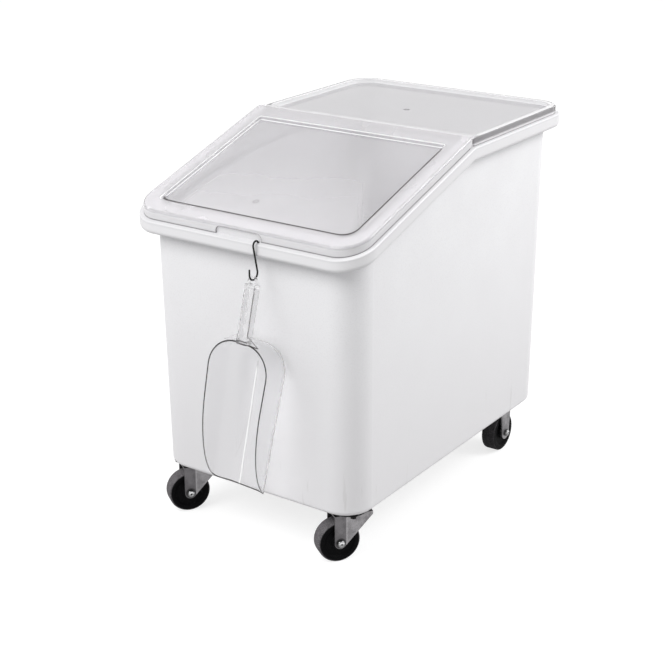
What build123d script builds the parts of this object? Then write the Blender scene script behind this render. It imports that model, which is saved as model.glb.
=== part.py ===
from build123d import *
import math
import os

os.makedirs("parts", exist_ok=True)

# The frame: origin on the floor under the middle of the bin, -Y is the front, +Z is up.
# Driving dimensions, in millimetres and degrees.
bin_width = 495
bin_length = 749
bin_height = 725
wall = 5

# The lid plane: flat behind the ridge, falling towards the front.
ridge_y = 4
front_fall = 0.306
lip_end_y = 16

# Tub
base_z = 104
base_half_width = 221
base_front_y = -342
base_rear_y = 346
top_half_width = 226
top_front_y = -349
top_rear_y = 350
tub_corner_r = 55
tub_base_edge_r = 9

# Rim, as drops below the lid plane
rim_corner_r = 58
rim_drop = 44
ledge_drop = 18.5
front_top_drop = 3.4
rear_top_drop = 14.6
rim_edge_r = 8
ledge_edge_r = 2.5
rim_wall = 4.5
seat_start = 0.6

# Lids
lid_inset = 8
lid_thick = 3
skirt_drop = 18
front_crest_r = 5
rear_crest_r = 3
lid_gap = 0.5
panel_inset = 34
panel_front_y = -331
panel_rear_y = -31
panel_depth = 7
panel_corner_r = 26
panel_rear_corner_r = 5
notch_width = 97
notch_height = 13.2
notch_corner_r = 9
skirt_end_r = 7
rear_lid_front_y = 6
rear_bead_drop = 3.7
rear_panel_drop = 11.2
bead_width = 12
rear_front_corner_r = 3

# S-hook and the hole that it hangs in
wire_r = 1.6
wire_end_r = 0.9
hook_x = 43
hook_hole_y = -366.2
hook_hole_r = 3
hook_top_bend_r = 7.4
hook_low_bend_r = 11
hook_slant = 12.4
hook_shank = 45
hook_leg = 8
hook_rise = -3.5
hook_tip = 10
hook_ring_gap = 0.8

# Scoop, hanging from the hook
scoop_lean = 11.8
scoop_askew = 3
ring_outer_r = 10
ring_inner_r = 5.5
ring_thick = 4.5
ring_edge_r = 1.2
handle_width = 23
handle_deep = 18
handle_length = 100
bowl_length = 273.5
bowl_deep = 75
bowl_half_back = 65
bowl_half_lip = 56.5
bowl_wall = 2.6
bowl_shoulder_r = 52
bowl_floor_r = 30
nose_length = 167
handle_wall = 3
gusset_reach = 36
gusset_rise = 13
gusset_thick = 3
scallop_r = 12
scallop_pitch = 21
scallop_deep = 3
scallop_count = 4
handle_overlap = 4
ring_block_width = 16
ring_block_height = 6
bowl_overrun = 20

# Casters
wheel_r = 40
dish_mid_r = 21
dish_width = 12
dish_deep = 3
dish_slope = 60
tread_width = 30
hub_width = 34
fork_gap = 35.4
fork_plate = 3
axle_r = 4
bush_r = 6
clearance = 0.05
front_caster_y = -288
rear_caster_y = 262
caster_x = 174
caster_trail = 24
swivel_angle = 235
plate_side = 70
plate_thick = 2.5
bolt_pitch = 56
mount_bolt_r = 3
axle_hex = 13
hex_edge_r = 0.8
mount_hex = 10
pad_height = 9
pad_side = 82
pad_corner_r = 8
plate_corner_r = 7
hub_r = 13
tread_edge_r = 5
leg_end_r = 11
leg_front = 35
leg_rear = -38
rear_leg_end_r = 14
rear_leg_half = 18
crown_corner_r = 6
crown_r = 27
king_pin_r = 6
king_head_r = 10
race_r = 33
crown_top_z = 94.7
race_gap = 0.3
bolt_reach = 11
mount_head = 4
axle_head = 5.3
axle_nut_thick = 6.5


def lid_z(y):
    # Height of the lid plane above a point of the plan.
    return bin_height - front_fall * max(ridge_y - y, 0)


def drop_band(low_drop, high_drop, front_y=-400, rear_y=400):
    # Corner points, in the Y-Z plane, of the band between two drops below the lid plane.
    stations = [front_y, ridge_y, rear_y]
    lower = [(y, lid_z(y) - low_drop) for y in stations]
    upper = [(y, lid_z(y) - high_drop) for y in reversed(stations)]
    return lower + upper


def banded_block(inset, corner_r, low_drop, high_drop):
    # A rounded block of the rim's plan, drawn in by inset and cut to a band under the lid plane.
    with BuildPart() as block:
        with BuildSketch(Plane.XY.offset(base_z)):
            RectangleRounded(bin_width - 2 * inset, bin_length - 2 * inset, corner_r)
        extrude(amount=bin_height)
        with BuildSketch(Plane.YZ):
            Polygon(*drop_band(low_drop, high_drop), align=None)
        extrude(amount=bin_width, both=True, mode=Mode.INTERSECT)
    return block


def tub_form(inset, low_z):
    # The tapered tub as a full block, drawn in by inset on its four sides.
    with BuildPart() as form:
        for z, half, front, rear in (
            (low_z, base_half_width, base_front_y, base_rear_y),
            (bin_height, top_half_width, top_front_y, top_rear_y),
        ):
            with BuildSketch(Plane.XY.offset(z)):
                with Locations((0, (front + rear) / 2)):
                    RectangleRounded(2 * (half - inset), rear - front - 2 * inset, tub_corner_r - inset)
        loft()
    return form


def at_casters():
    # The middle of each of the four caster plates, in plan.
    return [(x, y) for y in (front_caster_y, rear_caster_y) for x in (-caster_x, caster_x)]


def tub_space():
    # The space inside the tub, with the caster pads left standing on its floor.
    with BuildPart() as space:
        add(tub_form(wall, base_z + wall).part)
        with BuildSketch(Plane.XY.offset(base_z)):
            with Locations(*at_casters()):
                RectangleRounded(pad_side, pad_side, pad_corner_r)
        extrude(amount=wall + pad_height, mode=Mode.SUBTRACT)
    return space.part


def save(block, name):
    # Label one sub-part and write its STEP file.
    block.part.label = name
    export_step(block.part, f"parts/{name}.step")


# Rim block: the outer wall of the rolled rim, rounded along its lower edge and its ledge.
with BuildPart() as rim_outer:
    add(banded_block(0, rim_corner_r, rim_drop, ledge_drop).part)
    low_faces = [f for f in rim_outer.faces() if f.normal_at().Z < -0.5]
    low_edges = [e for f in low_faces for e in f.edges() if abs(e.center().Y - ridge_y) > 1]
    fillet(low_edges, rim_edge_r)
    top_faces = [f for f in rim_outer.faces() if f.normal_at().Z > 0.5]
    top_edges = [e for f in top_faces for e in f.edges() if abs(e.center().Y - ridge_y) > 1]
    fillet(top_edges, ledge_edge_r)

# Tub: tapered walls, the rolled hollow rim, the seats for both lids and the four caster pads.
with BuildPart() as bin_body:
    add(tub_form(0, base_z).part)
    base_face = bin_body.faces().sort_by(Axis.Z)[0]
    fillet(base_face.edges(), tub_base_edge_r)
    with BuildSketch(Plane.YZ):
        Polygon(*drop_band(bin_height, ledge_drop), align=None)
    extrude(amount=bin_width, both=True, mode=Mode.INTERSECT)
    add(rim_outer.part)
    seat_inset = lid_inset + lid_thick + lid_gap
    add(banded_block(seat_inset, rim_corner_r - seat_inset, rim_drop - rim_edge_r, front_top_drop).part)
    with BuildSketch(Plane.YZ):
        with Locations((ridge_y + seat_start, bin_height - rear_top_drop)):
            Rectangle(bin_length, bin_width, align=(Align.MIN, Align.MIN))
    extrude(amount=bin_width, both=True, mode=Mode.SUBTRACT)
    # The hollow inside the rolled rim, outside the tub wall.
    hollow_low = rim_drop - rim_wall
    hollow_high = ledge_drop + rim_wall
    rim_hollow = banded_block(rim_wall, rim_corner_r - rim_wall, hollow_low, hollow_high).part
    add(rim_hollow - tub_form(0, base_z).part, mode=Mode.SUBTRACT)
    add(tub_space(), mode=Mode.SUBTRACT)
    # Blind holes for the caster bolts, and the hole for the hook in the front ledge.
    with BuildSketch(Plane.XY.offset(base_z)):
        for pad in at_casters():
            with Locations(pad):
                with GridLocations(bolt_pitch, bolt_pitch, 2, 2):
                    Circle(mount_bolt_r + clearance)
    extrude(amount=bolt_reach + 1, mode=Mode.SUBTRACT)
    ledge_z = lid_z(hook_hole_y) - ledge_drop
    with BuildSketch(Plane.XY.offset(ledge_z)):
        with Locations((hook_x, hook_hole_y)):
            Circle(hook_hole_r)
    extrude(amount=2 * rim_wall, both=True, mode=Mode.SUBTRACT)
save(bin_body, "bin_body")


def lid_plan(inset, rear_y, corner_r):
    # Plan of a front-lid layer: square at the back, rounded at the two front corners.
    half = bin_width / 2 - lid_inset - inset
    front = -bin_length / 2 + lid_inset + inset
    with BuildSketch(Plane.XY.offset(base_z)) as plan:
        with Locations((0, (front + rear_y) / 2)):
            Rectangle(2 * half, rear_y - front)
        fillet(plan.vertices().group_by(Axis.Y)[0], corner_r)
    return plan


def panel_plan(grow):
    # Plan of the sunken panel, grown outwards by its wall where it is drawn from below.
    half = bin_width / 2 - lid_inset - panel_inset + grow
    with BuildSketch(Plane.XY.offset(base_z)) as plan:
        with Locations((0, (panel_front_y + panel_rear_y) / 2)):
            Rectangle(2 * half, panel_rear_y - panel_front_y + 2 * grow)
        fillet(plan.vertices().group_by(Axis.Y)[0], panel_corner_r + grow)
        fillet(plan.vertices().group_by(Axis.Y)[-1], panel_rear_corner_r + grow)
    return plan


def cut_to_band(plan, low_drop, high_drop):
    # A plan drawn up and cut to a band under the lid plane.
    with BuildPart() as layer:
        add(plan.sketch)
        extrude(amount=bin_height)
        with BuildSketch(Plane.YZ):
            Polygon(*drop_band(low_drop, high_drop), align=None)
        extrude(amount=bin_width, both=True, mode=Mode.INTERSECT)
    return layer.part


# Front lid: sloping shell with a skirt on three sides, a sunken panel and a lip over the rear lid.
lid_corner_r = rim_corner_r - lid_inset
with BuildPart() as front_lid:
    add(cut_to_band(lid_plan(0, lip_end_y, lid_corner_r), skirt_drop, 0))
    crest_faces = [f for f in front_lid.faces() if f.normal_at().Z > 0.5]
    crest_edges = [
        e
        for f in crest_faces
        for e in f.edges()
        if abs(e.center().Y - ridge_y) > 1 and e.center().Y < lip_end_y - 1
    ]
    fillet(crest_edges, front_crest_r)
    hollow = lid_plan(lid_thick, lip_end_y + lid_thick, lid_corner_r - lid_thick)
    add(cut_to_band(hollow, 2 * skirt_drop, lid_thick), mode=Mode.SUBTRACT)
    # The lip behind the ridge has no skirt, and each side skirt ends in a round corner.
    with BuildSketch(Plane.YZ):
        with BuildLine():
            lip_low_z = bin_height - lid_thick
            skirt_low_z = bin_height - skirt_drop
            below_z = skirt_low_z - skirt_end_r
            behind_y = lip_end_y + skirt_end_r
            skirt_end = Line((ridge_y, lip_low_z), (ridge_y, skirt_low_z + skirt_end_r))
            round_end = JernArc(skirt_end @ 1, skirt_end % 1, skirt_end_r, -90)
            down = Line(round_end @ 1, ((round_end @ 1).X, below_z))
            Polyline(down @ 1, (behind_y, below_z), (behind_y, lip_low_z), skirt_end @ 0)
        make_face()
    extrude(amount=bin_width, both=True, mode=Mode.SUBTRACT)
    add(cut_to_band(panel_plan(lid_thick), panel_depth + lid_thick, lid_thick))
    add(cut_to_band(panel_plan(0), panel_depth, -panel_depth), mode=Mode.SUBTRACT)
    # The finger notch in the middle of the front skirt.
    notch_z = lid_z(-bin_length / 2 + lid_inset) - skirt_drop
    with BuildSketch(Plane.XZ.offset(bin_length / 2 - lid_inset)):
        with Locations((0, notch_z)):
            RectangleRounded(notch_width, 2 * notch_height, notch_corner_r)
    extrude(amount=2 * lid_thick, both=True, mode=Mode.SUBTRACT)
save(front_lid, "front_lid")


def rear_plan(inset, corner_r):
    # Plan of a rear-lid layer: square at the front, rounded at the two rear corners.
    half = bin_width / 2 - lid_inset - inset
    front = rear_lid_front_y + inset
    rear = bin_length / 2 - lid_inset - inset
    with BuildSketch(Plane.XY) as plan:
        with Locations((0, (front + rear) / 2)):
            Rectangle(2 * half, rear - front)
        fillet(plan.vertices().group_by(Axis.Y)[-1], corner_r)
        fillet(plan.vertices().group_by(Axis.Y)[0], rear_front_corner_r)
    return plan.sketch


# Rear lid: a shallow tray with a hollow raised bead all round and a short skirt.
bead_z = bin_height - rear_bead_drop
rear_panel_z = bin_height - rear_panel_drop
rear_skirt_z = bin_height - skirt_drop
with BuildPart() as rear_lid:
    with BuildSketch(Plane.XY.offset(rear_skirt_z)):
        add(rear_plan(0, lid_corner_r))
    extrude(amount=bead_z - rear_skirt_z)
    fillet(rear_lid.faces().sort_by(Axis.Z)[-1].edges(), rear_crest_r)
    with BuildSketch(Plane.XY.offset(rear_panel_z)):
        add(rear_plan(bead_width, lid_corner_r - bead_width))
    extrude(amount=rear_panel_drop, mode=Mode.SUBTRACT)
    with BuildSketch(Plane.XY.offset(rear_skirt_z)):
        add(rear_plan(lid_thick, lid_corner_r - lid_thick))
    extrude(amount=rear_panel_z - lid_thick - rear_skirt_z, mode=Mode.SUBTRACT)
    with BuildSketch(Plane.XY.offset(rear_skirt_z)):
        add(rear_plan(lid_thick, lid_corner_r - lid_thick))
        add(rear_plan(bead_width - lid_thick, lid_corner_r - bead_width + lid_thick), mode=Mode.SUBTRACT)
    extrude(amount=bead_z - lid_thick - rear_skirt_z, mode=Mode.SUBTRACT)
    # No skirt along the front edge, where the rear lid lies under the lip of the front lid.
    open_deep = 2 * lid_thick + bead_width / 2
    with Locations((0, rear_lid_front_y, rear_skirt_z)):
        Box(bin_width, open_deep, 2 * (rear_panel_z - lid_thick - rear_skirt_z), mode=Mode.SUBTRACT)
save(rear_lid, "rear_lid")

# S-hook: one wire in a Y-Z plane, its top bend over the ledge, its bottom bend open to the front.
hook_plane = Plane(origin=(hook_x, 0, 0), x_dir=(0, 1, 0), z_dir=(1, 0, 0))
with BuildPart() as s_hook:
    with BuildLine(hook_plane) as hook_line:
        leg = Line((hook_hole_y, ledge_z + hook_rise - hook_leg), (hook_hole_y, ledge_z + hook_rise))
        top_bend = JernArc(leg @ 1, leg % 1, hook_top_bend_r, 180 + hook_slant)
        shank = PolarLine(top_bend @ 1, hook_shank, direction=top_bend % 1)
        low_bend = JernArc(shank @ 1, shank % 1, hook_low_bend_r, -180 - hook_slant)
        tip = PolarLine(low_bend @ 1, hook_tip, direction=low_bend % 1)
    with BuildSketch(Plane(origin=leg @ 0, z_dir=leg % 0)):
        Circle(wire_r)
    sweep(path=hook_line.line)
    fillet(s_hook.faces().filter_by(GeomType.PLANE).edges(), wire_end_r)
save(s_hook, "s_hook")

# Scoop: hangs from the bottom bend by its ring, and its back rests on the tub, so its lip stands forward.
slant = math.radians(hook_slant)
low_bend_y = (shank @ 1).Y - hook_low_bend_r * math.cos(slant)
low_bend_z = (shank @ 1).Z - hook_low_bend_r * math.sin(slant)
ring_bar_z = low_bend_z - hook_low_bend_r + wire_r + ring_thick / 2 + hook_ring_gap
lean = math.radians(scoop_lean)
hang = Plane(
    origin=(hook_x, low_bend_y, ring_bar_z), x_dir=(1, 0, 0), z_dir=(0, math.sin(lean), math.cos(lean))
)
# It hangs a little askew, with its lip to the left.
hang = hang.rotated((0, scoop_askew, 0))
face_view = Plane(origin=hang.origin, x_dir=hang.x_dir, z_dir=-hang.y_dir)
side_view = Plane(origin=hang.origin, x_dir=hang.y_dir, z_dir=hang.x_dir)
ring_mid_r = (ring_outer_r + ring_inner_r) / 2
handle_top = -ring_mid_r - ring_inner_r
bowl_top = handle_top - handle_length
opening_d = -handle_deep / 2


def bowl_form(inset, overrun):
    # The bowl as a full block: tapered plan, round shoulders and round floor edges.
    with BuildPart() as form:
        with BuildSketch(face_view.offset(-opening_d + overrun)) as outline:
            with BuildLine():
                lip = bowl_top - bowl_length - overrun
                Polyline(
                    (-bowl_half_back + inset, bowl_top - inset),
                    (bowl_half_back - inset, bowl_top - inset),
                    (bowl_half_lip - inset, lip),
                    (-bowl_half_lip + inset, lip),
                    close=True,
                )
            make_face()
            fillet(outline.vertices().group_by(Axis.Y)[-1], bowl_shoulder_r - inset)
        extrude(amount=-(bowl_deep - inset + overrun))
        floor_edges = form.faces().sort_by(Axis((0, 0, 0), hang.y_dir))[-1].edges()
        lip_edge = floor_edges.sort_by(Axis((0, 0, 0), hang.z_dir))[0]
        fillet([e for e in floor_edges if e != lip_edge], bowl_floor_r - inset)
    return form.part


# The hanging ring of the scoop, with round edges.
with BuildPart() as scoop_ring:
    with BuildSketch(face_view):
        with Locations((0, -ring_mid_r)):
            Circle(ring_outer_r)
            Circle(ring_inner_r, mode=Mode.SUBTRACT)
    extrude(amount=ring_thick / 2, both=True)
    fillet(scoop_ring.edges().filter_by(GeomType.CIRCLE), ring_edge_r)

# The scoop: bowl, mouth, handle, gussets and ring in one clear moulding.
with BuildPart() as scoop:
    add(bowl_form(0, 0) - bowl_form(bowl_wall, bowl_overrun))
    # The mouth: everything in front of the elliptical nose line is cut away.
    with BuildSketch(side_view) as mouth:
        nose_top = bowl_top - bowl_length + nose_length
        floor_d = opening_d + bowl_deep
        ahead_d = opening_d - bowl_deep
        beyond = bowl_top - bowl_length - bowl_deep
        with BuildLine():
            nose = EllipticalCenterArc((floor_d, nose_top), bowl_deep, nose_length, 180, arc_size=90)
            Polyline(nose @ 0, (ahead_d, nose_top), (ahead_d, beyond), (floor_d, beyond), nose @ 1)
        make_face()
    extrude(amount=bowl_length, both=True, mode=Mode.SUBTRACT)
    # The handle: a channel, open at the back, with finger scallops along its two edges.
    with BuildSketch(hang.offset(bowl_top - handle_overlap)):
        RectangleRounded(handle_width, handle_deep, handle_wall)
    extrude(amount=handle_length + handle_overlap)
    with BuildSketch(hang.offset(bowl_top + 2 * handle_wall)):
        with Locations((0, handle_wall)):
            Rectangle(handle_width - 2 * handle_wall, handle_deep)
    extrude(amount=handle_length - 4 * handle_wall, mode=Mode.SUBTRACT)
    with BuildSketch(side_view):
        for step in range(scallop_count):
            with Locations((handle_deep / 2 + scallop_r - scallop_deep, bowl_top + scallop_pitch * (step + 1))):
                Circle(scallop_r)
    extrude(amount=handle_width, both=True, mode=Mode.SUBTRACT)
    # The two gussets between the handle and the end of the bowl.
    with BuildSketch(face_view.offset(-opening_d - gusset_thick)):
        for side in (-1, 1):
            with BuildLine():
                Polyline(
                    (side * (handle_width / 2 - 1), bowl_top + gusset_rise),
                    (side * gusset_reach, bowl_top - bowl_wall),
                    (side * (handle_width / 2 - 1), bowl_top - bowl_wall),
                    close=True,
                )
            make_face()
    extrude(amount=gusset_thick)
    # The small block that joins the ring to the handle.
    with BuildSketch(face_view):
        with Locations((0, handle_top - ring_block_height / 2 + 1)):
            Rectangle(ring_block_width, ring_block_height)
        with Locations((0, -ring_mid_r)):
            Circle(ring_mid_r, mode=Mode.SUBTRACT)
    extrude(amount=ring_thick / 2, both=True)
    add(scoop_ring.part)
save(scoop, "scoop")


def caster_frame(x, y, heading):
    # Floor plane under a caster's plate: its X axis points where the wheel trails.
    angle = math.radians(heading)
    return Plane(origin=(x, y, 0), x_dir=(math.cos(angle), math.sin(angle), 0), z_dir=(0, 0, 1))


def side_of(base, along=0, across=0, up=0):
    # Upright plane along the trail direction, looked at along the axle.
    middle = base.from_local_coords((along, across, up))
    return Plane(origin=middle, x_dir=base.x_dir, z_dir=-base.y_dir)


def caster_wheel(base, trail):
    # Solid wheel with a rounded tread, dished faces and a raised hub.
    axle = base.from_local_coords((trail, 0, wheel_r))
    section = Plane(origin=axle, x_dir=-base.y_dir, z_dir=-base.x_dir)
    bore = bush_r + clearance
    with BuildPart() as wheel:
        with BuildSketch(section) as profile:
            with Locations((0, (wheel_r + bore) / 2)):
                Rectangle(tread_width, wheel_r - bore)
            fillet(profile.vertices().group_by(Axis.Y)[-1], tread_edge_r)
            with Locations((0, (hub_r + bore) / 2)):
                Rectangle(hub_width, hub_r - bore)
            for side in (-1, 1):
                with Locations((side * tread_width / 2, dish_mid_r)):
                    Trapezoid(dish_width, dish_deep, dish_slope, rotation=90 * side, mode=Mode.SUBTRACT)
        revolve(axis=Axis(axle, section.x_dir))
    return wheel


def caster_fork(base, trail, crown_z, plate_z, front, rear, end_r):
    # Pressed fork: two legs down to the axle, joined by a crown or by the mounting plate.
    leg_mid = (fork_gap + fork_plate) / 2
    leg_top = ((front + rear) / 2, crown_z - fork_plate)
    with BuildPart() as fork:
        for side in (-1, 1):
            with BuildSketch(side_of(base, across=side * leg_mid)):
                with Locations((trail, wheel_r)):
                    Circle(end_r)
                with Locations(leg_top):
                    Rectangle(front - rear, 2 * fork_plate)
                make_hull()
                with Locations((trail, wheel_r)):
                    Circle(axle_r + clearance, mode=Mode.SUBTRACT)
            extrude(amount=fork_plate / 2, both=True)
        if plate_z > crown_z:
            with BuildSketch(base.offset(plate_z - fork_plate)):
                RectangleRounded(plate_side, plate_side, plate_corner_r)
                with GridLocations(bolt_pitch, bolt_pitch, 2, 2):
                    Circle(mount_bolt_r + clearance, mode=Mode.SUBTRACT)
            extrude(amount=fork_plate)
        else:
            with BuildSketch(base.offset(crown_z - fork_plate)):
                with Locations((leg_top[0], 0)):
                    RectangleRounded(front - rear, fork_gap + 2 * fork_plate, crown_corner_r)
                Circle(crown_r)
                Circle(king_pin_r + clearance, mode=Mode.SUBTRACT)
            extrude(amount=fork_plate)
    return fork


def axle_set(base, trail):
    # Spacer bush between the legs, bolt with its head on one leg, and nut on the other.
    outer = fork_gap / 2 + fork_plate
    with BuildPart() as bush:
        with BuildSketch(side_of(base, trail, 0, wheel_r)):
            Circle(bush_r)
            Circle(axle_r + clearance, mode=Mode.SUBTRACT)
        extrude(amount=fork_gap / 2, both=True)
    with BuildPart() as bolt:
        with BuildSketch(side_of(base, trail, -outer, wheel_r)):
            RegularPolygon(axle_hex / math.sqrt(3), 6)
        extrude(amount=axle_head)
        fillet(bolt.faces().sort_by(Axis((0, 0, 0), -base.y_dir))[-1].edges(), hex_edge_r)
        with BuildSketch(side_of(base, trail, -outer, wheel_r)):
            Circle(axle_r)
        extrude(amount=-(2 * outer + axle_nut_thick + 2))
    with BuildPart() as nut:
        with BuildSketch(side_of(base, trail, outer, wheel_r)):
            RegularPolygon(axle_hex / math.sqrt(3), 6)
        extrude(amount=-axle_nut_thick)
        fillet(nut.faces().sort_by(Axis((0, 0, 0), base.y_dir))[-1].edges(), hex_edge_r)
        with BuildSketch(side_of(base, trail, outer, wheel_r)):
            Circle(axle_r)
        extrude(amount=-2 * axle_nut_thick, mode=Mode.SUBTRACT)
    return bush, bolt, nut


def mounting_bolts(base, seat_z):
    # Four bolts, heads under the plate, up into the pads of the tub.
    with BuildPart() as bolts:
        with BuildSketch(base.offset(seat_z)):
            with GridLocations(bolt_pitch, bolt_pitch, 2, 2):
                RegularPolygon(mount_hex / math.sqrt(3), 6)
        extrude(amount=-mount_head)
        with BuildSketch(base.offset(seat_z)):
            with GridLocations(bolt_pitch, bolt_pitch, 2, 2):
                Circle(mount_bolt_r)
        extrude(amount=base_z - seat_z + bolt_reach)
    return bolts


race_low_z = crown_top_z + race_gap
for corner, x in (("front_left", -caster_x), ("front_right", caster_x)):
    # Swivel caster: a plate and ball race fixed to the tub, a fork turning on the king pin.
    square = caster_frame(x, front_caster_y, 0)
    turned = caster_frame(x, front_caster_y, swivel_angle)
    with BuildPart() as top_plate:
        with BuildSketch(square.offset(base_z - plate_thick)):
            RectangleRounded(plate_side, plate_side, plate_corner_r)
            with GridLocations(bolt_pitch, bolt_pitch, 2, 2):
                Circle(mount_bolt_r + clearance, mode=Mode.SUBTRACT)
            Circle(king_pin_r, mode=Mode.SUBTRACT)
        extrude(amount=plate_thick)
    save(top_plate, f"{corner}_top_plate")
    with BuildPart() as ball_race:
        with BuildSketch(square.offset(race_low_z)):
            Circle(race_r)
            Circle(king_pin_r, mode=Mode.SUBTRACT)
        extrude(amount=base_z - plate_thick - race_low_z)
        fillet(ball_race.edges().group_by(Axis.Z)[0].sort_by(SortBy.RADIUS)[-1], 2)
    save(ball_race, f"{corner}_ball_race")
    with BuildPart() as king_pin:
        with BuildSketch(square.offset(crown_top_z - fork_plate - race_gap)):
            Circle(king_head_r)
        extrude(amount=-fork_plate)
        fillet(king_pin.edges().group_by(Axis.Z)[0], 1.2)
        with BuildSketch(square.offset(crown_top_z - fork_plate - race_gap)):
            Circle(king_pin_r)
        extrude(amount=base_z - crown_top_z + fork_plate + race_gap)
    save(king_pin, f"{corner}_king_pin")
    turned_fork = caster_fork(turned, caster_trail, crown_top_z, 0, leg_front, leg_rear, leg_end_r)
    save(turned_fork, f"{corner}_fork")
    save(caster_wheel(turned, caster_trail), f"{corner}_wheel")
    bush, bolt, nut = axle_set(turned, caster_trail)
    save(bush, f"{corner}_hub_bush")
    save(bolt, f"{corner}_axle_bolt")
    save(nut, f"{corner}_axle_nut")
    save(mounting_bolts(square, base_z - plate_thick), f"{corner}_mounting_bolts")

for corner, x in (("rear_left", -caster_x), ("rear_right", caster_x)):
    # Rigid caster: plate and fork in one pressing, wheel straight ahead.
    straight = caster_frame(x, rear_caster_y, 270)
    straight_fork = caster_fork(
        straight, 0, base_z - fork_plate, base_z, rear_leg_half, -rear_leg_half, rear_leg_end_r
    )
    save(straight_fork, f"{corner}_fork")
    save(caster_wheel(straight, 0), f"{corner}_wheel")
    bush, bolt, nut = axle_set(straight, 0)
    save(bush, f"{corner}_hub_bush")
    save(bolt, f"{corner}_axle_bolt")
    save(nut, f"{corner}_axle_nut")
    save(mounting_bolts(straight, base_z - fork_plate), f"{corner}_mounting_bolts")
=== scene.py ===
import math

import bpy
from mathutils import Matrix, Vector


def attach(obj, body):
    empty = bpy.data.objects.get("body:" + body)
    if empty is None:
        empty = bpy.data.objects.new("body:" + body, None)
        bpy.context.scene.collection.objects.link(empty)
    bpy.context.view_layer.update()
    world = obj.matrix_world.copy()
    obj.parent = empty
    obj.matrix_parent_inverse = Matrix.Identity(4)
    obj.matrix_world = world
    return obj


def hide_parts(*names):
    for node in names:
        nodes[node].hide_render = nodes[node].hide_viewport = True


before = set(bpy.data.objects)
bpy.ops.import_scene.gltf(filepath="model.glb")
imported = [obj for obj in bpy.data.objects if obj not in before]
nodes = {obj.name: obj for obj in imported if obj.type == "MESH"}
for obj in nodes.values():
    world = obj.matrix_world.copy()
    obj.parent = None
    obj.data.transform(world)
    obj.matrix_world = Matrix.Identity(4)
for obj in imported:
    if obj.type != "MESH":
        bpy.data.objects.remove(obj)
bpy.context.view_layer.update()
print("frame loaded with", len(nodes), "nodes")

# the view of the photograph
view = {
    "azimuth": 34.84,  # degrees round from the front, towards the right side
    "elevation": 21.08,
    "distance": 2.929,
    "focal": 80.08,  # mm
    "sensor": 36,  # mm
    "roll": 0.268,
    "target": (-0.06125, 0.0, 0.2912),
    "nearest": 0.05,
    "farthest": 60,
}


def makeCamera():
    turn = math.radians(view["azimuth"])
    lift = math.radians(view["elevation"])
    target = Vector(view["target"])
    outward = Vector((math.sin(turn) * math.cos(lift), -math.cos(turn) * math.cos(lift), math.sin(lift)))
    bpy.ops.object.camera_add(location=target + outward * view["distance"])
    camera = bpy.context.object
    camera.name = "photoCamera"
    aim = (-outward).to_track_quat("-Z", "Y").to_matrix().to_4x4()
    roll = Matrix.Rotation(math.radians(-view["roll"]), 4, "Z")
    camera.matrix_world = Matrix.Translation(camera.location) @ aim @ roll
    camera.data.sensor_width = view["sensor"]
    camera.data.lens = view["focal"]
    camera.data.clip_start = view["nearest"]
    camera.data.clip_end = view["farthest"]
    bpy.context.scene.camera = camera


makeCamera()
print("camera placed")


class Flow:
    # One output socket, wrapped so that shader maths reads as plain expressions.
    def __init__(self, finish, link):
        self.finish = finish
        self.link = link

    def maths(self, operation, first, second=0.0, clamp=False):
        settings = {"operation": operation, "use_clamp": clamp}
        return self.finish.node("ShaderNodeMath", settings, {0: first, 1: second})

    def __add__(self, other):
        return self.maths("ADD", self, other)

    def __radd__(self, other):
        return self.maths("ADD", other, self)

    def __sub__(self, other):
        return self.maths("SUBTRACT", self, other)

    def __rsub__(self, other):
        return self.maths("SUBTRACT", other, self)

    def __mul__(self, other):
        return self.maths("MULTIPLY", self, other)

    def __rmul__(self, other):
        return self.maths("MULTIPLY", other, self)

    def __truediv__(self, other):
        return self.maths("DIVIDE", self, other)

    def __pow__(self, other):
        return self.maths("POWER", self, other)

    def __abs__(self):
        return self.maths("ABSOLUTE", self)

    def sine(self):
        return self.maths("SINE", self)

    def clamped(self):
        return self.maths("ADD", self, 0.0, True)

    def larger(self, other):
        return self.maths("MAXIMUM", self, other)

    def smaller(self, other):
        return self.maths("MINIMUM", self, other)

    def above(self, edge, width):
        # 0 below the edge, 1 above it, with a soft step of that width.
        settings = {"interpolation_type": "SMOOTHSTEP"}
        ends = {1: edge - width / 2, 2: edge + width / 2, 3: 0.0, 4: 1.0}
        return self.finish.node("ShaderNodeMapRange", settings, {0: self, **ends})

    def below(self, edge, width):
        return 1 - self.above(edge, width)

    def near(self, value, reach, width):
        # 1 within that reach of the value, with soft edges of that width.
        return abs(self - value).below(reach, width)


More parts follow.
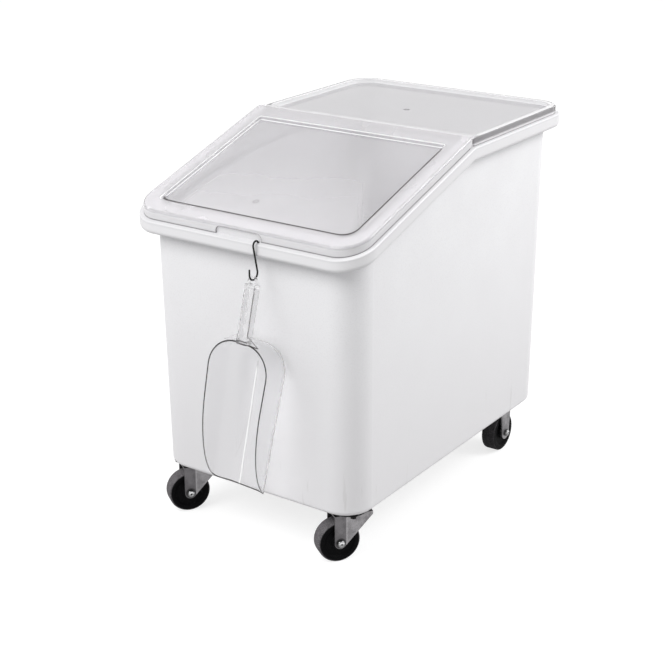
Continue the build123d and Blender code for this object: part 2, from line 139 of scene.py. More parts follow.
class Finish:
    # One material or world, and the only ways that this script adds nodes to it.
    def __init__(self, name, kind="materials"):
        self.owner = getattr(bpy.data, kind).new(name)
        self.owner.use_nodes = True
        self.tree = self.owner.node_tree
        self.tree.nodes.clear()

    def node(self, kind, settings=None, sockets=None, take=0):
        made = self.tree.nodes.new(kind)
        for key, value in (settings or {}).items():
            setattr(made, key, value)
        for key, value in (sockets or {}).items():
            if isinstance(value, Flow):
                self.tree.links.new(value.link, made.inputs[key])
            else:
                made.inputs[key].default_value = value
        return Flow(self, made.outputs[take]) if made.outputs else None

    def place(self, centre=(0, 0, 0), turn=(0, 0, 0), scale=(1, 1, 1), coords=None):
        # Object coordinates, seen from a frame with this centre and turn.
        coords = coords or self.node("ShaderNodeTexCoord", take="Object")
        sockets = {"Vector": coords, "Location": centre, "Rotation": turn, "Scale": scale}
        return self.node("ShaderNodeMapping", {"vector_type": "TEXTURE"}, sockets)

    def axes(self, coords):
        return (self.node("ShaderNodeSeparateXYZ", sockets={0: coords}, take=i) for i in range(3))

    def noise(self, coords, scale, detail=3.0, rough=0.5):
        sockets = {"Vector": coords, "Scale": scale, "Detail": detail, "Roughness": rough}
        return self.node("ShaderNodeTexNoise", sockets=sockets)

    def roundBox(self, first, second, centre, half, corner):
        # Distance from the outline of a rectangle with round corners, negative inside it.
        side = abs(first - centre[0]) - (half[0] - corner)
        end = abs(second - centre[1]) - (half[1] - corner)
        outer = (side.larger(0.0) ** 2.0 + end.larger(0.0) ** 2.0) ** 0.5
        return outer + side.larger(end).smaller(0.0) - corner

    def blend(self, mask, first, second):
        # A colour mix: first where the mask is 0, second where it is 1.
        pair = {6: first, 7: second}
        colours = {key: value if isinstance(value, Flow) else (*value, 1) for key, value in pair.items()}
        return self.node("ShaderNodeMix", {"data_type": "RGBA"}, {0: mask, **colours}, take=2)

    def mix(self, share, first, second):
        # A shader mix: first where the share is 0, second where it is 1.
        return self.node("ShaderNodeMixShader", sockets={0: share, 1: first, 2: second})

    def bump(self, height, depth, normal=None):
        sockets = {"Height": height, "Strength": 1.0, "Distance": depth}
        if normal:
            sockets["Normal"] = normal
        return self.node("ShaderNodeBump", sockets=sockets)

    def shader(self, constants, links):
        fixed = {key: (*value, 1) if isinstance(value, tuple) else value for key, value in constants.items()}
        return self.node("ShaderNodeBsdfPrincipled", sockets={**fixed, **links})

    def plain(self, constants, colour, rough, skin):
        # The whole of a finish that needs one shader.
        links = {"Base Color": colour, "Roughness": rough, "Normal": skin}
        return self.done(self.shader(constants, links))

    def lightPath(self, ray):
        return self.node("ShaderNodeLightPath", take=ray)

    def passingLight(self, body, share, tint):
        # Lets that share of the shadow light through, tinted, as thin clear plastic does.
        through = self.node("ShaderNodeBsdfTransparent", sockets={0: (*tint, 1)})
        return self.done(self.mix(self.lightPath("Is Shadow Ray") * share, body, through))

    def seenDirectly(self):
        # 1 for what the camera sees itself, in a reflection or through clear plastic,
        # and 0 for light that scatters.
        wanted = ("Is Camera Ray", "Is Glossy Ray", "Is Transmission Ray", "Diffuse Depth")
        camera, glossy, through, scattered = (self.lightPath(ray) for ray in wanted)
        return (camera + glossy + through).clamped() * scattered.below(0.5, 0.1)

    def done(self, surface, output="ShaderNodeOutputMaterial"):
        self.node(output, sockets={"Surface": surface})
        return self.owner


# the plane of the lids, level behind the ridge
lidPlane = {"ridgeY": 0.004, "ridgeZ": 0.725, "fall": 0.306}


def lidDepth(y, z):
    # How far a point lies under the plane of the lids: level at the rear, falling towards the front.
    fall = (lidPlane["ridgeY"] - y).larger(0.0) * lidPlane["fall"]
    return lidPlane["ridgeZ"] - fall - z


tubLook = {
    "pale": (0.86, 0.86, 0.875),
    "shade": (0.83, 0.826, 0.842),
    # painted shade low down, and also the colour of the grain's specks
    "low": (0.765, 0.757, 0.772),
    "scuff": (0.64, 0.63, 0.63),
    # painted shade on the rim
    "rim": (0.775, 0.77, 0.785),
    "rimDepth": 0.046,
    # painted shade on the ledge under the lid
    "ledge": (0.70, 0.695, 0.71),
    "ledgeDepth": 0.0225,
    "scuffHeight": 0.175,
    # painted shade darkens the walls below about this height, fading over a wide span
    "paintedShadeHeight": 0.36,
    "grainShare": 0.6,
    "roughness": 0.43,
}


def mouldedPolyethylene():
    # Satin white polyethylene with a fine orange-peel skin, faintly scuffed; painted shade darkens it low
    # down, so it is lighter towards the top, and darkens its rim and the ledge under the lid.
    look = Finish("satinPolyethylene")
    coords = look.place()
    _, y, height = look.axes(coords)
    mottle = look.noise(coords, 9.0, 4.0, 0.55)
    grain = look.noise(coords, 430.0, 2.0, 0.6)
    peel = look.noise(coords, 260.0, 2.0, 0.5)
    streaks = look.noise(look.place(scale=(0.02, 0.02, 0.3)), 1.4, 6.0, 0.65)
    low = height.below(tubLook["scuffHeight"], 0.13)
    # painted shade: darker towards the bottom
    paintedLowShade = height.below(tubLook["paintedShadeHeight"], 0.62)
    scuffs = (streaks.above(0.66, 0.05) * low * 0.55).clamped()
    pale = look.blend(mottle.above(0.5, 0.5), tubLook["pale"], tubLook["shade"])
    wearAndShade = look.blend(paintedLowShade, pale, tubLook["low"])
    depth = lidDepth(y, height)
    # painted shade on the rim, and darker on the ledge under the lid
    ledge = look.blend(depth.below(tubLook["ledgeDepth"], 0.004), tubLook["rim"], tubLook["ledge"])
    rimAndLedgeShaded = look.blend(depth.below(tubLook["rimDepth"], 0.004), wearAndShade, ledge)
    speckled = look.blend(grain.above(0.60, 0.2) * tubLook["grainShare"], rimAndLedgeShaded, tubLook["low"])
    colour = look.blend(scuffs, speckled, tubLook["scuff"])
    rough = tubLook["roughness"] + mottle * 0.06 + scuffs * 0.2
    skin = look.bump(peel, 0.00012, look.bump(grain, 0.00003))
    return look.plain({"IOR": 1.5}, colour, rough, skin)


lidLook = {
    "shadowTint": (0.72, 0.715, 0.725),
    "shadowShare": 0.92,
    "hazeShare": 0.19,
    # painted shade of the tub's inside, seen through the lid
    "paintedShadeTone": (0.52, 0.51, 0.525),
    # a lighter milky tone on the skirts: painted light
    "litSkirtHaze": (0.80, 0.795, 0.81),
    # near black, for the painted shade lines and the gate scars
    "edge": (0.035, 0.03, 0.032),
    # painted highlight
    "glint": (0.95, 0.95, 0.955),
    "roughness": 0.045,
}
frontLid = {
    "tint": (0.845, 0.84, 0.85),
    "haze": (0.84, 0.83, 0.845),
    "panelCentre": (0.0, -0.181),
    "panelHalf": (0.2055, 0.150),
    "panelCorner": 0.022,
    "sharpCorner": 0.005,
    "panelDepth": 0.007,
    "skirt": 0.018,
    "notchHalf": (0.0485, 0.020),
    "notchTop": 0.0048,
    "notchCorner": 0.009,
    "gate": (-0.029, -0.278),
    # where the painted shade lies on the panel
    "bowCentre": (0.02, -0.33),
    "bowHalf": (0.204, 0.365),
    "bowReach": 1.01,
    "slant": 0.635,
}
rearLid = {
    # darker than the front lid's tint and haze: painted shade of the tub seen through it
    "tint": (0.64, 0.635, 0.645),
    "haze": (0.60, 0.59, 0.605),
    "wellCentre": (0.0, 0.18625),
    "wellHalf": (0.2275, 0.16825),
    "wellCorner": 0.038,
    "outerX": 0.2368,
    "gate": (-0.003, 0.172),
}


def gateMark(x, y, place):
    # The small round scar where the plastic went into the mould, with a darker ring.
    reach = ((x - place[0]) ** 2.0 + (y - place[1]) ** 2.0) ** 0.5
    return reach.below(0.0062, 0.003) * (0.25 + reach.near(0.0048, 0.0012, 0.001) * 0.35)


def frontLidLightAndScar(look):
    # Painted shade round the sunken panel's low side, along the skirt's lower edge, round the notch and down
    # the left edge, with the real gate scar; painted highlight on the step round its high side and on the
    # front crest; and the skirt.
    x, y, z = look.axes(look.place())
    under = lidDepth(y, z)
    panelBox = (x, y, frontLid["panelCentre"], frontLid["panelHalf"])
    panel = look.roundBox(*panelBox, frontLid["panelCorner"])
    sharp = look.roundBox(*panelBox, frontLid["sharpCorner"])
    rightEdge = x.above(0.190, 0.03) * y.below(-0.040, 0.01)
    lowSide = rightEdge.larger(y.below(-0.310, 0.03) * x.above(-0.199, 0.006))
    step = panel.near(0.0006, 0.0021, 0.0008) * lowSide * under.below(0.0045, 0.002)
    notchMiddle = (0.0, frontLid["notchTop"] + frontLid["notchHalf"][1])
    notch = look.roundBox(x, under, notchMiddle, frontLid["notchHalf"], frontLid["notchCorner"])
    notchLine = notch.near(0.0, 0.0009, 0.0006) * y.below(-0.3645, 0.0005) * 0.6
    hem = under.above(frontLid["skirt"] - 0.0015, 0.0006) * 0.6
    leftEdge = x.below(-0.2375, 0.0015) * under.below(0.008, 0.004) * 0.35
    scar = gateMark(x, y, frontLid["gate"]) * 0.4
    dark = (step * 0.9 + notchLine.larger(hem) + leftEdge + scar).clamped()
    highSide = x.below(-0.1950, 0.004).larger(y.above(-0.0400, 0.004))
    foot = under.above(frontLid["panelDepth"] - 0.001, 0.0008) * under.below(0.0082, 0.0008)
    lips = under.below(0.0012, 0.0008).larger(foot)
    wall = sharp.near(0.0, 0.0012, 0.0008) * (0.3 + lips * 0.7) * under.below(0.0085, 0.0008)
    crest = under.near(0.0030, 0.0018, 0.002) * y.below(-0.345, 0.02) * 0.25
    bright = (wall * highSide * (1 - lowSide) + crest).clamped()
    skirt = under.above(0.0050, 0.003) * (1 - sharp.below(0.006, 0.002))
    return dark, bright, skirt, frontShade(x, y, panel)


def frontShade(x, y, panel):
    # Painted shade of the tub's inside seen through the lid: a soft bow along the panel's left side, a band
    # towards its right side and a darkening up its slope, with an even light share on the margins.
    along = (x - frontLid["bowCentre"][0]) * (1 / frontLid["bowHalf"][0])
    up = (y - frontLid["bowCentre"][1]) * (1 / frontLid["bowHalf"][1])
    bow = (along ** 2.0 + up ** 2.0) ** 0.5
    left = bow.near(frontLid["bowReach"], 0.10, 0.24) * x.below(-0.02, 0.16) * 0.62
    slant = x + y * frontLid["slant"]
    right = slant.above(0.015, 0.05) * (0.48 - slant.above(0.13, 0.2) * 0.2)
    upper = (y - x * 0.2).above(-0.21, 0.30) * 0.45
    inside = panel.below(0.0, 0.01)
    return left.larger(right).larger(upper) * inside + (1 - inside) * 0.12


def rearLidLightAndScar(look):
    # Painted shade on the bead's outer side, where thick plastic is seen edge on, darkest at the rear corner,
    # along its back and its lower edge, with the gate scar; painted highlight on its inner side; painted
    # shade over the well.
    x, y, z = look.axes(look.place())
    side = x.above(rearLid["outerX"], 0.0012) * z.above(0.7125, 0.002)
    hem = x.above(rearLid["outerX"], 0.0012) * z.below(0.7079, 0.0005)
    corner = x.above(0.2335, 0.002) * y.above(0.3290, 0.006)
    rightSide = x.above(0.2200, 0.004)
    well = look.roundBox(x, y, rearLid["wellCentre"], rearLid["wellHalf"], rearLid["wellCorner"])
    back = well.above(0.0066, 0.0016) * (1 - rightSide) * z.above(0.7135, 0.002) * y.above(0.030, 0.01)
    scar = gateMark(x, y, rearLid["gate"])
    dark = (side * 0.42 + hem * 0.6 + corner * 0.55 + back * 0.36 + scar).clamped()
    bead = well.above(-0.0009, 0.0006) * well.below(0.0066 + rightSide * 0.003, 0.002)
    bright = bead * (0.9 - rightSide * 0.15) * y.above(0.020, 0.004)
    return dark, bright.clamped(), z.below(0.7110, 0.002), well.below(-0.02, 0.08) * 0.3


def clearLid(name, lid, marks):
    # Clear moulded plastic that has gone slightly hazy: it refracts, and a thin milky share scatters.
    look = Finish(name)
    coords = look.place()
    cloud = look.noise(coords, 14.0, 3.0, 0.5)
    fine = look.noise(coords, 700.0, 2.0, 0.6)
    rough = lidLook["roughness"] + cloud * 0.03
    ripple = look.bump(cloud, 0.00003, look.bump(fine, 0.000006))
    dark, bright, skirt, shade = marks(look)
    fixed = {"IOR": 1.49}
    glass = {**fixed, "Base Color": lid["tint"], "Transmission Weight": 1.0}
    clear = look.shader(glass, {"Roughness": rough, "Normal": ripple})
    # the milky share carries painted shade of the tub's inside, a painted lighter tone on the skirt and
    # painted highlights
    shadedHaze = look.blend(shade, lid["haze"], lidLook["paintedShadeTone"])
    paint = look.blend(bright, look.blend(skirt, shadedHaze, lidLook["litSkirtHaze"]), lidLook["glint"])
    milky = look.shader(fixed, {"Base Color": paint, "Roughness": rough + 0.1, "Normal": ripple})
    edgeLook = {**fixed, "Base Color": lidLook["edge"], "Specular IOR Level": 0.2}
    edge = look.shader(edgeLook, {"Roughness": rough + 0.3})
    # a larger milky share where the painted shade is light, and on the skirt, is painted light too
    share = lidLook["hazeShare"] + (1 - shade) * 0.12 + cloud * 0.03 + skirt * 0.35
    hazy = look.mix(share.larger(bright * 0.8), clear, milky)
    # the near-black edge shader draws the painted shade lines and the gate scar
    return look.passingLight(look.mix(dark, hazy, edge), lidLook["shadowShare"], lidLook["shadowTint"])


scoopLook = {
    "tint": (0.965, 0.965, 0.97),
    "haze": (0.70, 0.69, 0.70),
    # painted shade along the mouth's rim
    "rim": (0.035, 0.03, 0.032),
    # painted highlight of the streak down the bowl's floor
    "glint": (0.96, 0.96, 0.965),
    "shadowTint": (0.90, 0.90, 0.90),
    "shadowShare": 0.95,
    "pivot": (0.043, -0.38191, 0.53547),
    "lean": 11.8,  # degrees
    "askew": 3.0,
    "openingDepth": -0.009,
    "bowlDepth": 0.075,
    "bowlTop": -0.11325,
    "noseLength": 0.167,
    "noseTop": -0.21975,
    "streakAt": -0.0104,  # the painted highlight streak down the bowl's floor
}


def clearScoop():
    # Glass-clear plastic with a little milky handle; painted shade darkens the mouth's rim, most on one side
    # and at the lip's tip, and a painted highlight streaks down the bowl's floor.
    look = Finish("clearScoopPlastic")
    leaning = look.place(scoopLook["pivot"], (-math.radians(scoopLook["lean"]), 0, 0))
    turned = look.place(turn=(0, math.radians(scoopLook["askew"]), 0), coords=leaning)
    wide, deep, high = look.axes(turned)
    floorDeep = scoopLook["openingDepth"] + scoopLook["bowlDepth"]
    across = (floorDeep - deep) / scoopLook["bowlDepth"]
    down = (scoopLook["noseTop"] - high) / scoopLook["noseLength"]
    reach = across * across + (down * down) * down.above(0.0, 0.001)
    bowl = high.below(scoopLook["bowlTop"] - 0.001, 0.001)
    # painted shade along the mouth's rim, strongest on one side and at the lip's tip
    rim = reach.above(0.982, 0.008) * bowl
    lipTip = high.below(-0.376, 0.008)
    darkerSide = (wide.above(0.0, 0.04) * high.above(-0.270, 0.12) + lipTip).clamped()
    floor = deep.above(0.058, 0.004) * high.below(-0.165, 0.03)
    # painted highlight
    highlightStreak = wide.near(scoopLook["streakAt"], 0.0014, 0.0012) * floor
    cloud = look.noise(turned, 30.0, 3.0)
    scratches = look.noise(look.place(scale=(0.010, 0.3, 0.3)), 2.0, 5.0, 0.7).above(0.70, 0.03)
    rough = 0.03 + cloud * 0.02 + scratches * 0.05
    fixed = {"IOR": 1.49}
    glass = {**fixed, "Base Color": scoopLook["tint"], "Transmission Weight": 1.0}
    clear = look.shader(glass, {"Roughness": rough, "Normal": look.bump(cloud, 0.000012)})
    paint = look.blend(highlightStreak, scoopLook["haze"], scoopLook["glint"])
    milky = look.shader(fixed, {"Base Color": paint, "Roughness": rough + 0.1})
    rimLook = {**fixed, "Base Color": scoopLook["rim"], "Specular IOR Level": 0.2}
    rimShade = look.shader(rimLook, {"Roughness": rough + 0.3})
    hazy = look.mix(0.03 + (1 - bowl) * 0.12 + highlightStreak * 0.80, clear, milky)
    body = look.mix(rim * (0.16 + darkerSide * 0.76), hazy, rimShade)
    return look.passingLight(body, scoopLook["shadowShare"], scoopLook["shadowTint"])


def blackWire():
    # Black enamelled wire, rubbed a little through to the metal at the bends.
    look = Finish("blackEnamelWire")
    coords = look.place()
    wearAndShade = look.noise(coords, 240.0, 4.0, 0.6).above(0.68, 0.05)
    colour = look.blend(wearAndShade, (0.004, 0.004, 0.0045), (0.10, 0.095, 0.09))
    rough = 0.27 + wearAndShade * 0.2
    skin = look.bump(look.noise(coords, 900.0, 2.0), 0.00002)
    return look.plain({"IOR": 1.5, "Specular IOR Level": 0.25}, colour, rough, skin)


def casterFrame(look, centre, heading):
    # Coordinates along the wheel's trail, along the axle and upwards, from the middle of the axle.
    local = look.place(centre, (0, 0, math.radians(heading)))
    return (local, *look.axes(local))


forkLook = {
    "bright": (0.275, 0.268, 0.275),
    "grey": (0.225, 0.218, 0.225),
    "dull": (0.15, 0.145, 0.15),
    "pit": (0.05, 0.048, 0.05),
    # painted shade on the leg beside the crease
    "shadedStrip": (0.085, 0.08, 0.085),
    # painted highlight along the crease
    "crease": (0.42, 0.41, 0.42),
    # painted shade round the axle
    "ring": (0.03, 0.03, 0.03),
    "creaseAt": -0.0115,  # m along the trail, from the axle
    "ringRadius": 0.0088,
}


def zincSteel(name, centre=(0, 0, 0), heading=0.0, creased=False):
    # Dull zinc plate, mottled and pitted, and where it is creased, with the pressed line down each fork leg,
    # painted shade on the leg beside the crease and round the axle, and a painted highlight along the crease.
    look = Finish(name)
    local, along, _, up = casterFrame(look, centre, heading)
    crystals = look.node("ShaderNodeTexVoronoi", sockets={"Vector": local, "Scale": 420.0}, take="Color")
    tone = look.node("ShaderNodeSeparateColor", sockets={0: crystals})
    pits = look.noise(local, 620.0, 2.0, 0.7).above(0.60, 0.06)
    dull = look.noise(local, 60.0, 4.0, 0.6).above(0.52, 0.2)
    lines = look.noise(look.place(scale=(1.0, 1.0, 0.03)), 60.0, 3.0, 0.6)
    colour = look.blend(tone * 0.5, forkLook["bright"], forkLook["grey"])
    colour = look.blend(dull * 0.5, colour, forkLook["dull"])
    height = lines * 0.1 + pits * -0.3
    if creased:
        # painted shade beside the crease and round the axle, and a painted highlight along the crease
        shadedStrip = along.above(forkLook["creaseAt"], 0.0012)
        crease = along.near(forkLook["creaseAt"], 0.0012, 0.0010)
        eye = (along * along + up * up) ** 0.5
        ring = eye.near(forkLook["ringRadius"], 0.0012, 0.0008)
        colour = look.blend(shadedStrip * 0.66, colour, forkLook["shadedStrip"])
        colour = look.blend(crease * 0.5, colour, forkLook["crease"])
        colour = look.blend(ring * 0.75, colour, forkLook["ring"])
        height = height + crease
    colour = look.blend(pits * 0.45, colour, forkLook["pit"])
    rough = 0.34 + dull * 0.16 + lines * 0.08
    return look.plain({"Metallic": 1.0, "IOR": 1.5}, colour, rough, look.bump(height, 0.00015))


def shadowBlackSteel():
    # The swivel's plate, bearing cup and the mounting bolts, nearly black: painted shade under the tub.
    look = Finish("shadowBlackBearingSteel")
    blackMottle = look.noise(look.place(), 180.0, 4.0, 0.6)
    colour = look.blend(blackMottle.above(0.62, 0.1), (0.006, 0.0055, 0.006), (0.045, 0.042, 0.042))
    fixed = {"IOR": 1.5, "Specular IOR Level": 0.1}
    return look.plain(fixed, colour, 0.32 + blackMottle * 0.2, look.bump(blackMottle, 0.0001))


chromeLook = {
    "bright": (0.62, 0.62, 0.63),
    "handled": (0.36, 0.36, 0.36),
    # painted shade in the socket
    "socket": (0.012, 0.012, 0.012),
    # painted shade in a ring round the head
    "rim": (0.06, 0.06, 0.06),
    # painted shade on the head's lower side
    "lower": (0.10, 0.10, 0.10),
    "rimRadius": 0.0056,
    "socketRadius": 0.0019,
}


def brightSteel(name, centre=(0, 0, 0), heading=0.0, socketRadius=0.0):
    # Chromed fastenings with faint handling marks; where there is a socket, painted shade darkens it, a ring
    # round the head and the head's lower side.
    look = Finish(name)
    local, along, _, up = casterFrame(look, centre, heading)
    marks = look.noise(local, 300.0, 5.0, 0.65).above(0.60, 0.1)
    colour = look.blend(marks * 0.5, chromeLook["bright"], chromeLook["handled"])
    if socketRadius:
        # painted shade in the socket, in a ring round the head and on its lower side
        eye = (along * along + up * up) ** 0.5
        colour = look.blend(eye.below(socketRadius, 0.0006) * 0.95, colour, chromeLook["socket"])
        colour = look.blend(eye.above(chromeLook["rimRadius"], 0.0016) * 0.85, colour, chromeLook["rim"])
        colour = look.blend(up.below(0.0010, 0.004) * 0.75, colour, chromeLook["lower"])
    fixed = {"Metallic": 1.0, "IOR": 1.5}
    return look.plain(fixed, colour, 0.14 + marks * 0.18, look.bump(marks, 0.00004))


rubberLook = {
    "black": (0.002, 0.002, 0.0024),
    "dust": (0.20, 0.19, 0.20),
    "treadRadius": 0.0374,
    "ringsPerMetre": 2600.0,  # in radians
    "frontDust": 1.0,
    "rearDust": 0.35,
}


def wheelRubber(name, centre, heading, dustShare):
    # Hard black rubber: moulded rings on the faces, and a greyer, scuffed tread with its parting line.
    look = Finish(name)
    local, along, across, up = casterFrame(look, centre, heading)
    radius = (along * along + up * up) ** 0.5
    tread = radius.above(rubberLook["treadRadius"], 0.003)
    dust = look.noise(local, 130.0, 5.0, 0.65)
    specks = look.noise(local, 700.0, 2.0, 0.6).above(0.56, 0.05)
    parting = across.near(0.0, 0.0006, 0.0005) * tread
    grey = (tread * (0.20 + dust * 0.7) * dustShare + specks * (0.02 + tread * 0.5 * dustShare)).clamped()
    colour = look.blend(grey, rubberLook["black"], rubberLook["dust"])
    rings = (radius * rubberLook["ringsPerMetre"]).sine() * (1 - tread)
    skin = look.bump(rings * 0.3 + parting * 2.0, 0.00008, look.bump(dust, 0.00012))
    fixed = {"IOR": 1.5, "Specular IOR Level": 0.04}
    return look.plain(fixed, colour, 0.50 + dust * 0.14 + tread * 0.1, skin)


finishes = {
    "bin_body": mouldedPolyethylene(),
    "front_lid": clearLid("hazyFrontLid", frontLid, frontLidLightAndScar),
    "rear_lid": clearLid("hazyRearLid", rearLid, rearLidLightAndScar),
    "scoop": clearScoop(),
    "s_hook": blackWire(),
    "zinc": zincSteel("zincPlatedSteel"),
    "shadowBlack": shadowBlackSteel(),
    "bright": brightSteel("brightPlatedSteel"),
}
print("finishes made:", len(finishes))


def dress(piece, material):
    piece.data.materials.clear()
    piece.data.materials.append(material)


for name, node in nodes.items():
    # the plate, ball race and mounting bolts get the near-black painted shade under the tub
    if name.endswith(("_ball_race", "_top_plate", "_bolts")):
        dress(node, finishes["shadowBlack"])
    elif name.endswith(("_bolt", "_nut")):
        dress(node, finishes["bright"])
    else:
        dress(node, finishes.get(name, finishes["zinc"]))
print("nodes dressed")


def onAxis(point):
    return point.xy.length < 0.001


def isLevel(run):
    return abs(run.z) < 1e-6


def pick(piece, kind, test):
    # Selects the faces or edges that pass the test, by their middle and their normal or run, in edit mode.
    bpy.ops.object.mode_set(mode="OBJECT")
    mesh = piece.data
    for item in (*mesh.vertices, *mesh.edges, *mesh.polygons):
        item.select = False
    for item in getattr(mesh, kind):
        points = [mesh.vertices[i].co for i in item.vertices]
        heading = points[0] - points[1] if kind == "edges" else item.normal
        item.select = test(sum(points, Vector()) / len(points), heading)
    bpy.ops.object.mode_set(mode="EDIT")
    bpy.ops.mesh.select_mode(type="EDGE" if kind == "edges" else "FACE")


def startRound(name, radius, depth, sides, height=0.0):
    # A round blank about the Z axis, with nothing else selected.
    bpy.ops.object.select_all(action="DESELECT")
    bpy.ops.mesh.primitive_cylinder_add(vertices=sides, radius=radius, depth=depth, location=(0, 0, height))
    blank = bpy.context.object
    blank.name = name
    bpy.ops.object.transform_apply(location=True, rotation=True, scale=True)
    return blank


def inset(width):
    bpy.ops.mesh.inset(thickness=width)


def shift(distance):
    bpy.ops.transform.translate(value=(0, 0, distance))


def push(distance):
    bpy.ops.mesh.extrude_region_move(TRANSFORM_OT_translate={"value": (0, 0, distance)})


def roundEdges(width, segments):
    bpy.ops.mesh.bevel(offset=width, segments=segments, affect="EDGES")


def finishPiece(piece):
    bpy.ops.object.mode_set(mode="OBJECT")
    bpy.ops.object.select_all(action="DESELECT")
    piece.select_set(True)
    bpy.context.view_layer.objects.active = piece
    bpy.ops.object.shade_smooth_by_angle(angle=math.radians(30))


def copyTo(model, name, centre, turn):
    # A copy with its own mesh, turned about Z after its axis is laid level, and its place baked in.
    copy = model.copy()
    copy.data = model.data.copy()
    copy.name = name
    bpy.context.collection.objects.link(copy)
    laid = Matrix.Rotation(math.radians(90), 4, "X")
    copy.data.transform(Matrix.Translation(centre) @ Matrix.Rotation(turn, 4, "Z") @ laid)
    return copy


# the wheel, about its own axle, in m
wheelShape = {
    "radius": 0.040,
    "treadWidth": 0.030,
    "shoulder": 0.0045,
    "dishOuter": 0.030,
    "dishInner": 0.0135,
    "dishDepth": 0.003,
    "dishSlope": 0.003,
    "hubSlope": 0.0015,
    "hubReach": 0.002,
    "bore": 0.00605,
    "ringRounding": 0.0006,
    "ringEdge": 0.0025,  # every edge round a ring is shorter than this
    "sides": 96,
}


def modelWheel():
    # Solid wheel: rounded shoulders, a dished face each side and a raised hub, bored through.
    wheel = startRound("wheelModel", wheelShape["radius"], wheelShape["treadWidth"], wheelShape["sides"])
    dishFloor = wheelShape["dishOuter"] - wheelShape["dishSlope"]
    for sign in (1, -1):
        pick(wheel, "polygons", lambda middle, normal: normal.z * sign > 0.9)
        inset(wheelShape["radius"] - wheelShape["dishOuter"])
        inset(wheelShape["dishSlope"])
        shift(-sign * wheelShape["dishDepth"])
        inset(dishFloor - wheelShape["dishInner"] - wheelShape["hubSlope"])
        inset(wheelShape["hubSlope"])
        shift(sign * (wheelShape["dishDepth"] + wheelShape["hubReach"]))
        inset(wheelShape["dishInner"] - wheelShape["bore"])
    hubEnd = wheelShape["treadWidth"] / 2 + wheelShape["hubReach"] - 0.0001
    pick(wheel, "polygons", lambda middle, normal: abs(middle.z) > hubEnd and onAxis(middle))
    bpy.ops.mesh.bridge_edge_loops()
    rim = wheelShape["radius"] - 0.001
    pick(wheel, "edges", lambda middle, run: middle.xy.length > rim and isLevel(run))
    roundEdges(wheelShape["shoulder"], 6)
    least, most = wheelShape["dishInner"] - wheelShape["hubSlope"], wheelShape["dishOuter"] + 0.001

    def onRing(middle, run):
        return least < middle.xy.length < most and isLevel(run) and run.length < wheelShape["ringEdge"]

    pick(wheel, "edges", onRing)
    roundEdges(wheelShape["ringRounding"], 2)
    finishPiece(wheel)
    return wheel


# the axle and its cap nut, outwards from the middle of the wheel, in m
axleShape = {
    "legOuter": 0.0207,
    "headRadius": 0.0072,
    "headHeight": 0.0050,
    "headRounding": 0.0032,
    "headLand": 0.0013,
    "socketEdge": 0.0002,
    "socketDepth": 0.0026,
    "shankRadius": 0.004,
    "shankLength": 0.0464,
    "tipSlope": 0.0006,
    "tipLength": 0.0005,
    "nutHeight": 0.0062,
    "nutRounding": 0.0036,
    "nutLand": 0.0014,
    "dimpleSlope": 0.0006,
    "dimpleDepth": 0.0007,
    "sides": 48,
}


def domedBlank(name, height, rounding):
    # A round blank on the fork leg's outer face, with its outer edge rounded and its end face picked.
    middle = axleShape["legOuter"] + height / 2
    top = axleShape["legOuter"] + height
    blank = startRound(name, axleShape["headRadius"], height, axleShape["sides"], middle)
    pick(blank, "edges", lambda point, run: point.z > top - 0.0001 and isLevel(run))
    roundEdges(rounding, 6)
    pick(blank, "polygons", lambda point, normal: normal.z > 0.99 and onAxis(point))
    return blank


def modelAxle():
    # Axle bolt: domed head with a socket, shank through both fork legs.
    axle = domedBlank("axleModel", axleShape["headHeight"], axleShape["headRounding"])
    inset(axleShape["headLand"])
    inset(axleShape["socketEdge"])
    push(-axleShape["socketDepth"])
    pick(axle, "polygons", lambda point, normal: normal.z < -0.99)
    inset(axleShape["headRadius"] - axleShape["shankRadius"])
    push(-axleShape["shankLength"])
    inset(axleShape["tipSlope"])
    shift(-axleShape["tipLength"])
    finishPiece(axle)
    return axle


def modelCapNut():
    # Domed cap nut over the thread's end, with a small dimple.
    nut = domedBlank("capNutModel", axleShape["nutHeight"], axleShape["nutRounding"])
    inset(axleShape["nutLand"])
    inset(axleShape["dimpleSlope"])
    shift(-axleShape["dimpleDepth"])
    finishPiece(nut)
    return nut


# where the casters stand, in m, and where they point, in degrees
caster = {
    "x": 0.174,
    "frontY": -0.288,
    "rearY": 0.262,
    "trail": 0.024,
    "frontHeading": 235.0,
    "rearHeading": 270.0,
}


def casterPlaces():
    # (name, x and y that it stands on, heading, trail) of the four casters.
    for side, sign in (("left", -1), ("right", 1)):
        yield f"front_{side}", sign * caster["x"], caster["frontY"], caster["frontHeading"], caster["trail"]
        yield f"rear_{side}", sign * caster["x"], caster["rearY"], caster["rearHeading"], 0.0


wheelModel = modelWheel()
axleModel = modelAxle()
capNutModel = modelCapNut()
for corner, x, y, heading, trail in casterPlaces():
    turn = math.radians(heading)
    centre = (x + trail * math.cos(turn), y + trail * math.sin(turn), wheelShape["radius"])
    swivels = corner.startswith("front")
    holder = f"{corner}_fork" if swivels else "bin"
    dustShare = rubberLook["frontDust"] if swivels else rubberLook["rearDust"]
    wheel = copyTo(wheelModel, f"{corner}_rubber_wheel", centre, turn)
    dress(wheel, wheelRubber(f"{corner}Rubber", centre, heading, dustShare))
    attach(wheel, f"{corner}_wheel")
    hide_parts(f"{corner}_wheel")
    chrome = brightSteel(f"{corner}Chrome", centre, heading, chromeLook["socketRadius"])
    axle = copyTo(axleModel, f"{corner}_domed_axle", centre, turn)
    capNut = copyTo(capNutModel, f"{corner}_cap_nut", centre, turn + math.pi)
    for fastening, node in ((axle, "axle_bolt"), (capNut, "axle_nut")):
        dress(fastening, chrome)
        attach(fastening, holder)
        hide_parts(f"{corner}_{node}")
    dress(nodes[f"{corner}_fork"], zincSteel(f"{corner}Zinc", centre, heading, swivels))
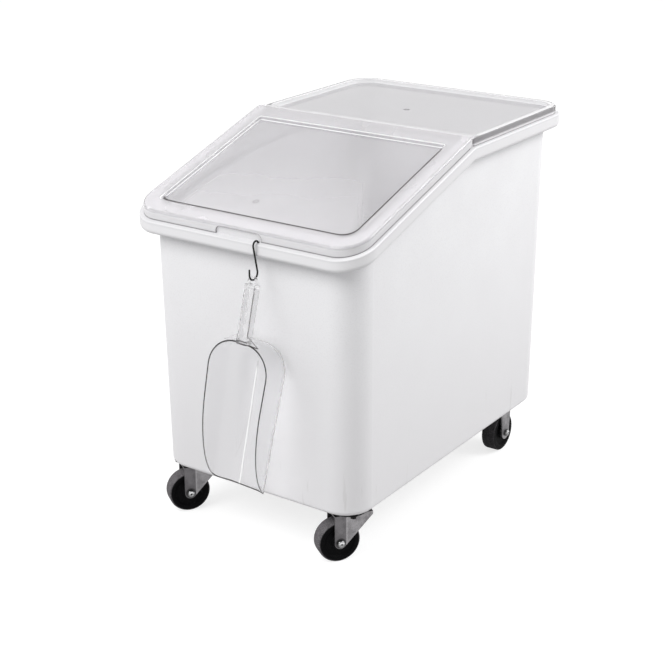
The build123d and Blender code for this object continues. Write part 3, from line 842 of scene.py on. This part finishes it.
for model in (wheelModel, axleModel, capNutModel):
    bpy.data.objects.remove(model)
print("casters modelled")

studio = {
    "floorSize": 40.0,
    "floorColour": (0.38, 0.38, 0.38),
    "floorGlow": 0.74,
    "white": (1.0, 1.0, 1.0),
    "worldStrength": 0.67,
    "backdropStrength": 1.0,
    "lampTarget": (0, 0, 0.35),
    "frontLamp": {"place": (-0.8, -2.8, 3.0), "size": 2.0, "power": 86.0},
    "sideLamp": {"place": (2.1, 1.5, 2.3), "size": 1.5, "power": 61.0},
}


def makeFloor():
    bpy.ops.object.select_all(action="DESELECT")
    bpy.ops.mesh.primitive_plane_add(size=studio["floorSize"], location=(0, 0, 0))
    floor = bpy.context.object
    floor.name = "studioFloor"
    look = Finish("paleFloor")
    matte = look.node("ShaderNodeBsdfDiffuse", sockets={"Color": (*studio["floorColour"], 1)})
    glowLook = {"Color": (*studio["white"], 1), "Strength": studio["floorGlow"]}
    glow = look.node("ShaderNodeEmission", sockets=glowLook)
    lit = look.node("ShaderNodeAddShader", sockets={0: matte, 1: glow})
    dress(floor, look.done(look.mix(look.seenDirectly(), matte, lit)))


def makeWorld():
    # Soft light for the object, and plain white wherever the world itself is seen.
    sky = Finish("paleWorld", "worlds")
    white = (*studio["white"], 1)
    soft, backdrop = (
        sky.node("ShaderNodeBackground", sockets={"Color": white, "Strength": studio[strength]})
        for strength in ("worldStrength", "backdropStrength")
    )
    bpy.context.scene.world = sky.done(sky.mix(sky.seenDirectly(), soft, backdrop), "ShaderNodeOutputWorld")


def makeLamp(name):
    lamp = studio[name]
    bpy.ops.object.light_add(type="AREA", location=lamp["place"])
    light = bpy.context.object
    light.name = name
    light.data.size = lamp["size"]
    light.data.energy = lamp["power"]
    aim = Vector(studio["lampTarget"]) - Vector(lamp["place"])
    light.rotation_euler = aim.to_track_quat("-Z", "Y").to_euler()


makeFloor()
makeWorld()
for lampName in ("frontLamp", "sideLamp"):
    makeLamp(lampName)
bpy.context.scene.view_settings.view_transform = "Standard"
print("studio made")
